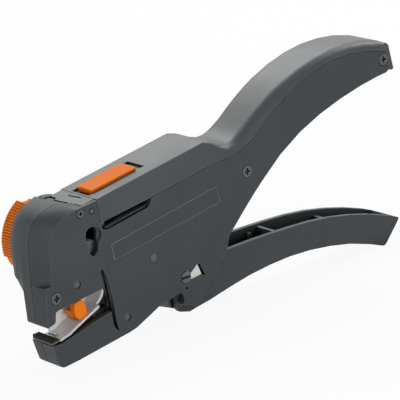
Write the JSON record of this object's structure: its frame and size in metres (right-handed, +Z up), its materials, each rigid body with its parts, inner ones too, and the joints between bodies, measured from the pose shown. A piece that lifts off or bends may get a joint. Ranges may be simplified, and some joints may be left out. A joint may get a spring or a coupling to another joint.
{
  "type": "wire stripper",
  "caption": "Hand tool that strips, cuts and crimps wire: sprung lever, clamping jaws in a side mouth, length stop and thumb selector.",
  "frame": {"origin": "middle of the tool's box on the bench that it stands on, by its chin and the end of its open lever", "axes": "+X towards the handles, along the longest side; +Y towards the side with the selector, across the tool; +Z up, from the lever to the spine"},
  "size_m": [0.2033, 0.0305, 0.0979],
  "materials": {
    "dark_plastic": "satin, fine moulded texture",
    "cover_plastic": "satin, fine moulded texture",
    "orange_plastic": "smooth",
    "clear_plastic": "translucent",
    "label": "smooth, bare",
    "steel": "bright",
    "dark_steel": "blackened",
    "blade_steel": "ground",
    "bronze": "plain",
    "rubber": "ribbed"
  },
  "bodies": {
    "body": {"near_shell": "dark_plastic", "jaw_frame": "dark_plastic", "handle_liner": "dark_plastic", "far_shell": "dark_plastic", "selector_guard": "dark_plastic", "spine_cover": "cover_plastic", "label_plate": "label", "crimp_anvil": "dark_steel", "ferrule_track": "dark_plastic", "jaw_pin_upper": "dark_steel", "jaw_pin_lower": "dark_steel", "guide_pin": "dark_steel", "crimp_pin": "dark_steel", "case_screws": "dark_steel", "small_screw": "dark_steel", "pivot_screw": "dark_steel", "pivot_nut": "steel", "spacer_tube": "steel", "cutter_blade": "blade_steel", "spring_post": "dark_plastic", "return_spring": "steel", "pawl_pin": "steel"},
    "lever": {"lever": "dark_plastic", "pivot_bush": "bronze", "drive_pin": "steel", "nose_pin": "dark_steel", "lever_blade": "blade_steel", "ratchet_sector": "steel"},
    "pawl": {"ratchet_pawl": "steel", "pawl_spring": "steel"},
    "clamp_rod": {"clamp_rod": "steel", "rod_pin": "steel"},
    "upper_jaw": {"upper_jaw": "steel", "upper_pad": "rubber"},
    "lower_jaw": {"lower_jaw": "dark_steel", "lower_pad": "rubber"},
    "carriage": {"knife_carriage": "steel", "carriage_pin": "steel", "lower_knife": "blade_steel", "tray": "clear_plastic"},
    "link": {"pull_link": "dark_steel"},
    "upper_knife": {"upper_knife": "blade_steel"},
    "length_stop": {"length_stop": "orange_plastic"},
    "crimp_arm": {"crimp_arm": "dark_steel"},
    "selector": {"selector": "orange_plastic", "selector_cap": "dark_plastic", "magazine_drum": "cover_plastic"},
    "top_slider": {"top_slider": "orange_plastic", "slider_clip": "steel"}
  },
  "joints": [
    {"name": "lever_swing", "type": "hinge", "parent": "body", "child": "lever", "pos_m": [-0.02747, -0.00343, 0.01958], "axis": [0, -1, 0], "range_deg": [0, 30], "stiffness_Nm_per_rad": 1, "springref_deg": -45.84, "deforming": ["return_spring"]},
    {"name": "clamp_rod_slide", "type": "slide", "parent": "body", "child": "clamp_rod", "axis": [-0.9865, 0, -0.1636], "range_m": [0, 0.00786]},
    {"name": "upper_jaw_hinge", "type": "hinge", "parent": "body", "child": "upper_jaw", "pos_m": [-0.08413, -0.00343, 0.03238], "axis": [0, -1, 0], "range_deg": [0, 5.01]},
    {"name": "lower_jaw_hinge", "type": "hinge", "parent": "body", "child": "lower_jaw", "pos_m": [-0.05989, -0.00343, 0.01148], "axis": [0, 1, 0], "range_deg": [0, 6.01]},
    {"name": "carriage_slide", "type": "slide", "parent": "body", "child": "carriage", "axis": [0.9865, 0, 0.1636], "range_m": [0, 0.00611]},
    {"name": "link_turn", "type": "hinge", "parent": "lever", "child": "link", "pos_m": [-0.02865, -0.00343, 0.00784], "axis": [0, -1, 0], "range_deg": [-30.01, 0]},
    {"name": "upper_knife_drop", "type": "slide", "parent": "carriage", "child": "upper_knife", "axis": [0.1636, 0, -0.9865], "range_m": [0, 0.00401]},
    {"name": "length_stop_slide", "type": "slide", "parent": "carriage", "child": "length_stop", "axis": [0.9121, 0, 0.41], "range_m": [-0.006, 0.001]},
    {"name": "crimp_arm_hinge", "type": "hinge", "parent": "body", "child": "crimp_arm", "pos_m": [-0.07386, -0.00343, 0.06095], "axis": [0, 1, 0], "range_deg": [0, 14.51]},
    {"name": "pawl_hinge", "type": "hinge", "parent": "body", "child": "pawl", "pos_m": [-0.0241, -0.00343, 0.05354], "axis": [0, -1, 0], "range_deg": [0, 10], "stiffness_Nm_per_rad": 0.01, "springref_deg": -11.46},
    {"name": "selector_turn", "type": "hinge", "parent": "body", "child": "selector", "pos_m": [-0.0785, -0.00343, 0.04671], "axis": [0, 1, 0], "range_deg": [-17, 8]},
    {"name": "top_slider_slide", "type": "slide", "parent": "body", "child": "top_slider", "axis": [0.9865, 0, 0.1636], "range_m": [-0.002, 0.002]}
  ],
  "couplings": [
    {"joint": "clamp_rod_slide", "follows": "lever_swing", "m_per_rad": 0.014992},
    {"joint": "upper_jaw_hinge", "follows": "lever_swing", "ratio": 0.16667},
    {"joint": "lower_jaw_hinge", "follows": "lever_swing", "ratio": 0.2},
    {"joint": "carriage_slide", "follows": "lever_swing", "m_per_rad": 0.01165},
    {"joint": "link_turn", "follows": "lever_swing", "ratio": -1},
    {"joint": "upper_knife_drop", "follows": "lever_swing", "m_per_rad": 0.007639},
    {"joint": "crimp_arm_hinge", "follows": "lever_swing", "ratio": 0.48333}
  ]
}
